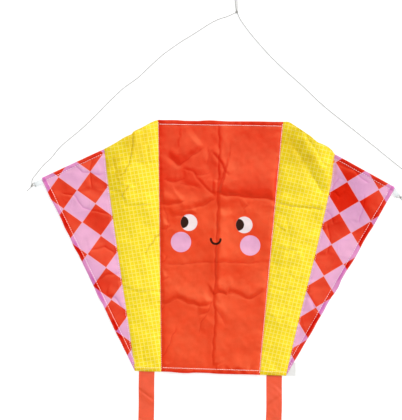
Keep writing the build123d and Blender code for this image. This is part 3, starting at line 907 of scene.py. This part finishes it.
def tip_tab(side):
    """A loop of translucent tape sewn to the tip, its end pulled towards the tie."""
    name = side_name(side)
    root = np.array(warped(corners(side)[-1])) + (side * -2.2, -5.2)
    end = np.array((side * (TIE[0] - 4.6), TIE[1] + 2.0))
    out = math.dist(end, root)
    d, n = directions(root, end)
    # the tape's path seen from the side: how far out it is, and how high
    u, z = np.array([(-7.0, 2.05), (-3.0, 2.1), (0.0, 2.2), (2.5, 2.7), (out - 2.5, 2.75),
                     (out - 0.8, 2.4), (out, 1.65), (out - 0.8, 0.9), (out - 2.5, 0.55),
                     (2.5, 0.45), (0.0, 0.35), (-6.0, 0.3)]).T
    half, thick = 3.9, 0.18
    across = np.linspace(-half, half, 9)
    top = z[:, None] + 0.12 * np.cos(across / half * 2.2) * (u[:, None] > 0)
    inner = np.stack([*[root[k] + u[:, None] * d[k] + across * n[k] for k in (0, 1)], top], 2)
    tangent = tangents(np.stack([u, z], 1))
    outer = inner.copy()
    outer[..., :2] -= tangent[:, 1, None, None] * thick * d
    outer[..., 2] += tangent[:, 0, None] * thick
    tab, bars = Mesh(), Mesh()
    tab.add(np.concatenate([inner, outer]).reshape(-1, 3), shell_faces(*top.shape))
    # Slot 1 is the row of painted shade, in the dark thread.
    for inset, slot in ((2.2, 1), (3.4, 0), (5.6, 0)):
        zigzag = [(*(root + n * a - d * (inset - (0.5 if i % 2 else -0.5))), 2.45 + 0.1 * (i % 2))
                  for i, a in enumerate(np.linspace(-3.4, 3.4, 15))]
        tube(bars, zigzag, 0.28, 5, slot)
    tape = tab.make(f"{name}_tip_tab_tape", "white_tape", [f"{name}_tip_tab"], tape_look)
    for obj in (tape, thread_piece(bars, f"{name}_tip_bartack", thread_white, painted_shade_thread)):
        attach(obj, f"{name}_wing_body")


def care_label():
    """A blank label caught in the right wing's hem, and the stitches that hold it."""
    _, _, low, _, tip = corners(1)
    foot = warped(low)
    s, t = spread((0, 1, 12), (0, 1, 18))
    start = foot + directions(foot, warped(tip))[0] * (t[..., None] * 24.0 - 0.5)
    x = start[..., 0] * (1 - s) + (136.5 - 0.8 * t) * s - 2.5 * (1 - s)
    y = start[..., 1] * (1 - s) + (foot[1] + 0.2 + t * 21.5) * s
    z = 0.12 + 0.5 * s ** 2 * (0.6 + 0.4 * np.sin(3 * t)) + 0.1 * np.sin(6 * s)
    mesh, rows = Mesh(), Mesh()
    sheet(mesh, x, y, np.maximum(z, 0.05), 0.18)
    label = mesh.make("care_label_cloth", "label", ["care_label"], label_look)
    stitch_row(rows, *inset_line(low, tip, 2.4, 1, (0.042, 0.068)), partial(wing_height, 1), 31, 3.2)
    for obj in (label, thread_piece(rows, "care_label_thread", thread_white)):
        bend(obj)


# ---------------------------------------------------------------- tails

def tail(side):
    """A ribbon with a few old folds across it. Its upper end is sewn under the cell's closed end."""
    name = side_name(side)
    centre = side * TAIL_X
    s, t = spread((-0.5, 0.5, 17), (0, 1, 330))
    y = BOTTOM_Y + 6.0 - t * (TAIL_LENGTH + 6.0)
    down = np.clip(BOTTOM_Y - y, 0, None)
    sway = 1.6 * np.sin(down / 90.0 + (1.3 if side > 0 else 0.2)) * smooth(down / 60)
    x = centre + s * TAIL_WIDTH + sway
    h = 0.6 + 0.5 * waves(x, y, 90 + side, 60, 160, 10)
    for i, base in enumerate(range(-320, -690, -70)):
        lean = (12 if i % 2 else -14) * side
        h += crease(x, y, [(centre - 18, base + lean), (centre + 18, base - lean)], (0.9, 4.0), (0.4, 3.0))
    out, low, high = (18, -227, -251) if side < 0 else (16, -256, -231)
    h += crease(x, y, [(centre - out, low), (centre + out, high)], (1.1, 4.0), (0.5, 3.0))
    h += 0.25 * crumple(x, y, 95 + side, 22, 1.3) + 0.1 * waves(x, y, 97 + side, 8, 24, 16)
    flat = smooth(down / 18)
    h = np.maximum(h * flat + 0.62 * (1 - flat), 0.05)
    mesh = Mesh()
    sheet(mesh, x, y, h, 0.2)
    obj = mesh.make(f"{name}_tail_ribbon", "tail_tape", [f"{name}_tail"], ribbon)
    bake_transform(obj)


# ---------------------------------------------------------------- bridle

PLY_TURN = 3.2                 # length of line in which its plies go once round


def twisted(mesh, points, radius=0.6, spacing=0.7):
    """Two plies twisted round each other along the path."""
    path = curve(points, spacing)
    tangent = tangents(path)
    side = np.cross(tangent, (0, 0, 1.0))
    side /= np.maximum(np.linalg.norm(side, axis=1), 1e-6)[:, None]
    other = np.cross(side, tangent)
    phase = np.arange(len(path)) * spacing / PLY_TURN * 2 * math.pi
    for ply in (0, math.pi):
        off = (side * np.cos(phase + ply)[:, None] + other * np.sin(phase + ply)[:, None]) * radius * 0.46
        tube(mesh, path + off, radius * 0.6, 5)


def overhand(mesh, centre, size, radius, tilt):
    """A small tight knot."""
    t = np.linspace(0, 2 * math.pi, 70)
    x, y, z = np.sin(t) + 2 * np.sin(2 * t), np.cos(t) - 2 * np.cos(2 * t), -np.sin(3 * t)
    c, s = math.cos(tilt), math.sin(tilt)
    tube(mesh, np.stack([x * c - y * s, x * s + y * c, 1.1 * z], 1) * size + centre, radius)


def cord_piece(mesh, body, node, *more):
    """A piece of line that shows one CAD node, or several."""
    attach(mesh.make(f"{node}_cord", "line", [node, *more], line_look), body)


def at_z(points, z=CORD_Z):
    return [(x, y, z) for x, y in points]


def tie(side):
    """The line knotted through the tab, with its free end."""
    name, x, y = side_name(side), side * TIE[0], TIE[1]
    ring = [(x + side * (4.2 * math.cos(a) - 5.5), y + 2.6 * math.sin(a) + 2.9, 1.75 + math.cos(a + 1.2))
            for a in np.linspace(0.3, 2 * math.pi - 0.3, 14)]
    free = [(x + side * out, y - down, z) for out, down, z in ((0, 0, 1.4), (2.2, 3.4, 0.9), (5.4, 6.0, 0.7),
                                                               (7.5, 9.1, 0.6))]
    mesh = Mesh()
    twisted(mesh, [(x, y, CORD_Z), *ring, (x, y, CORD_Z)], 0.5, 0.5)
    overhand(mesh, (x, y, 1.75), 0.5, 0.5, 0.4 * side)
    twisted(mesh, free, 0.5, 0.5)
    cord_piece(mesh, f"{name}_wing_body", f"{name}_tie_knot")


def bridle():
    """Both legs, the knot where they meet, the right leg's slack end and bend, and the tow loop, laid double.
    """
    left, right, end, turn, loop = [Mesh() for _ in range(5)]
    twisted(left, at_z([
        (-TIE[0], TIE[1]), (-294.6, 99), (-290, 106), (-277, 123), (-265, 135), (-250, 154), (-220, 181),
        (-200, 201), (-175, 228), (-154, 249), (-131, 267), (-112, 286), (-91, 306), (-66, 325), (-45, 339),
        (-12, 361), (10, 370), KNOT]))
    overhand(left, (*KNOT, 1.8), 0.62, 0.55, 0.5)
    twisted(right, at_z([
        (KNOT[0] + 1.0, KNOT[1] - 1.6), (29, 367), (36, 357), (49, 341), (76, 312), (102, 288), (133, 262),
        (168, 231), (208, 201), (252, 168), (290, 139), (311, 124)]))
    twisted(end, at_z([TIE, (304, 96), (313, 104.5)]))
    twisted(turn, at_z([
        (313, 104.5), (318.6, 108.8), (321.8, 112.0), (321.8, 115.2), (318, 119), (311, 124)]), spacing=0.5)
    knot, along, across = np.array(KNOT), np.array((-0.1, 0.995)), np.array((-0.995, -0.1))
    half = [(0.4, 0.5), (1.0, 8), (1.5, 24), (2.3, 44), (2.8, 58), (2.0, 64), (0, 66)]
    strands = [knot + along * a - across * w for w, a in half] + [knot + along * a + across * w
                                                                  for w, a in half[-2::-1]]
    twisted(loop, at_z(strands, 1.6))
    cord_piece(left, "left_bridle_body", "left_bridle_leg", "bridle_knot")
    cord_piece(right, "right_bridle_body", "right_bridle_leg")
    cord_piece(end, "right_bridle_end_body", "right_bridle_end")
    cord_piece(loop, "tow_loop_body", "tow_loop")
    obj = turn.make("right_bridle_bend_cord", "line", [], line_look)
    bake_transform(obj)


# ---------------------------------------------------------------- build

centre_panel()
centre_stitching()
for side in SIDES:
    cell(side)
    wing(side)
    cell_stitching(side)
    wing_stitching(side)
    tip_tab(side)
    tie(side)
    tail(side)
care_label()
bridle()


# ---------------------------------------------------------------- stage

def floor():
    """A white floor that is clear from below."""
    mesh = bpy.data.meshes.new("floor")
    r = 6.0
    mesh.from_pydata([(-r, -r, 0), (r, -r, 0), (r, r, 0), (-r, r, 0)], [], [(0, 1, 2, 3)])
    obj = bpy.data.objects.new("floor", mesh)
    bpy.context.scene.collection.objects.link(obj)
    mat = bpy.data.materials.new("floor_white")
    mat.use_nodes = True
    n = Nodes(mat.node_tree)
    shader = n.tree.nodes["Principled BSDF"]
    n.fill(shader.inputs, {"Base Color": (0.56, 0.56, 0.56, 1), "Roughness": 0.9, "Specular IOR Level": 0.1,
                           "Emission Color": (1, 1, 1, 1), "Emission Strength": 0.55})
    mix = n.node("ShaderNodeMixShader")
    sources = (n.node("ShaderNodeNewGeometry").outputs["Backfacing"], shader.outputs[0],
               n.node("ShaderNodeBsdfTransparent").outputs[0])
    n.fill(mix.inputs, dict(enumerate(sources)))
    n.put(mix.outputs[0], n.tree.nodes["Material Output"].inputs[0])
    mesh.materials.append(mat)


def light():
    """A white surround with one large soft source high up behind the leading edge, to the right."""
    world = bpy.data.worlds.new("studio")
    bpy.context.scene.world = world
    world.use_nodes = True
    n = Nodes(world.node_tree)
    way = n.vector("NORMALIZE", n.node("ShaderNodeTexCoord").outputs["Generated"])
    az, el = math.radians(58), math.radians(48)
    source = (math.cos(az) * math.cos(el), math.sin(az) * math.cos(el), math.sin(el))
    key = n.between(n.vector("DOT_PRODUCT", way, source), 0.66, 0.90, 0.0, KEY, "SMOOTHSTEP")
    split = n.node("ShaderNodeSeparateXYZ")
    n.put(way, split.inputs[0])
    fill = n.between(split.outputs["Z"], 0.45, 0.75, FILL, AMBIENT, "SMOOTHSTEP")
    seen = n.node("ShaderNodeMix")
    n.put(n.node("ShaderNodeLightPath").outputs["Is Camera Ray"], seen.inputs[0])
    n.put(n.math("ADD", key, fill), seen.inputs[2])
    n.put(0.97, seen.inputs[3])
    back = n.tree.nodes["Background"]
    n.put(seen.outputs[0], back.inputs["Strength"])
    n.put((1, 1, 1, 1), back.inputs["Color"])


floor()
light()

scene = bpy.context.scene
scene.view_settings.view_transform = "Standard"
camera = bpy.data.objects.new("camera", bpy.data.cameras.new("camera"))
scene.collection.objects.link(camera)
camera.location = (-0.0234, 0.0587, DISTANCE)
camera.rotation_euler = (0, 0, TWIST)
camera.data.sensor_width = 36
camera.data.lens = 36 * DISTANCE / SEEN
camera.data.clip_end = 50
scene.camera = camera
